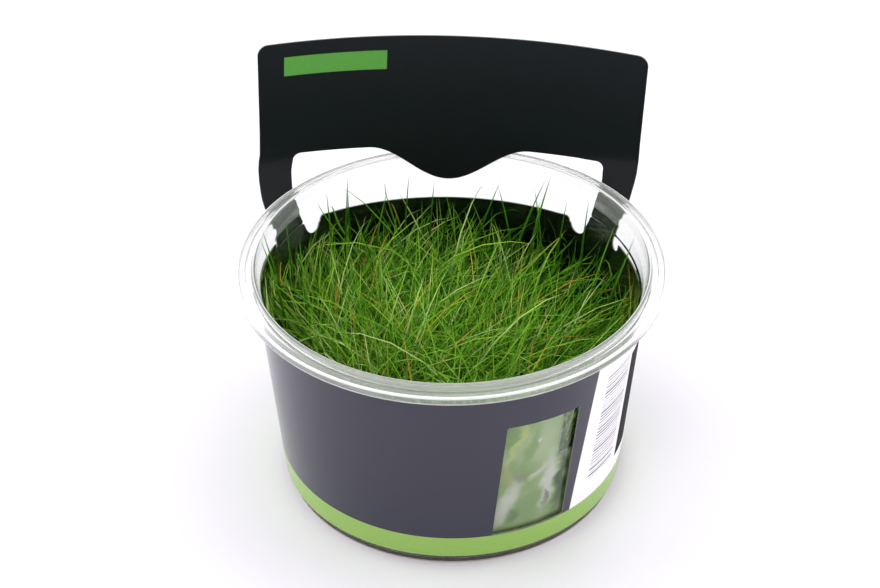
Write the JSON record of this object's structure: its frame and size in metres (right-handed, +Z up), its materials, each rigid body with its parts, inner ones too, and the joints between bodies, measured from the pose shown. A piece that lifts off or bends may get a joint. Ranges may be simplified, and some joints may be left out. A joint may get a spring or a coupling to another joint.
{
  "type": "dwarf hairgrass in a clear cup",
  "caption": "Mat of fine upright grass blades growing on gel in a clear tapered cup, with a printed card band whose header stands behind the rim.",
  "frame": {"origin": "on the cup's axis, in the plane of the foot that the cup stands on", "axes": "+Z up along the cup's axis; the card's header stands on the +Y side, and the side of the cup that faces a buyer is on the -Y side"},
  "size_m": [0.1, 0.1, 0.092],
  "materials": {
    "cup": "clear, glossy",
    "nutrient_gel": "cloudy wet gel",
    "card_sleeve": "printed card with a satin coat",
    "grass": "smooth fresh leaf"
  },
  "bodies": {
    "root": {"cup": "cup", "nutrient_gel": "nutrient_gel", "card_sleeve": "card_sleeve", "tuft_01": "grass", "tuft_02": "grass", "tuft_03": "grass", "tuft_04": "grass", "tuft_05": "grass", "tuft_06": "grass", "tuft_07": "grass", "tuft_08": "grass", "tuft_09": "grass", "tuft_10": "grass", "tuft_11": "grass", "tuft_12": "grass", "tuft_13": "grass", "tuft_14": "grass", "tuft_15": "grass", "tuft_16": "grass", "tuft_17": "grass", "tuft_18": "grass", "tuft_19": "grass", "tuft_20": "grass", "tuft_21": "grass", "tuft_22": "grass", "tuft_23": "grass", "tuft_24": "grass", "tuft_25": "grass", "tuft_26": "grass", "tuft_27": "grass", "tuft_28": "grass", "tuft_29": "grass", "tuft_30": "grass", "tuft_31": "grass", "tuft_32": "grass", "tuft_33": "grass", "tuft_34": "grass", "tuft_35": "grass", "tuft_36": "grass", "tuft_37": "grass"}
  },
  "joints": []
}
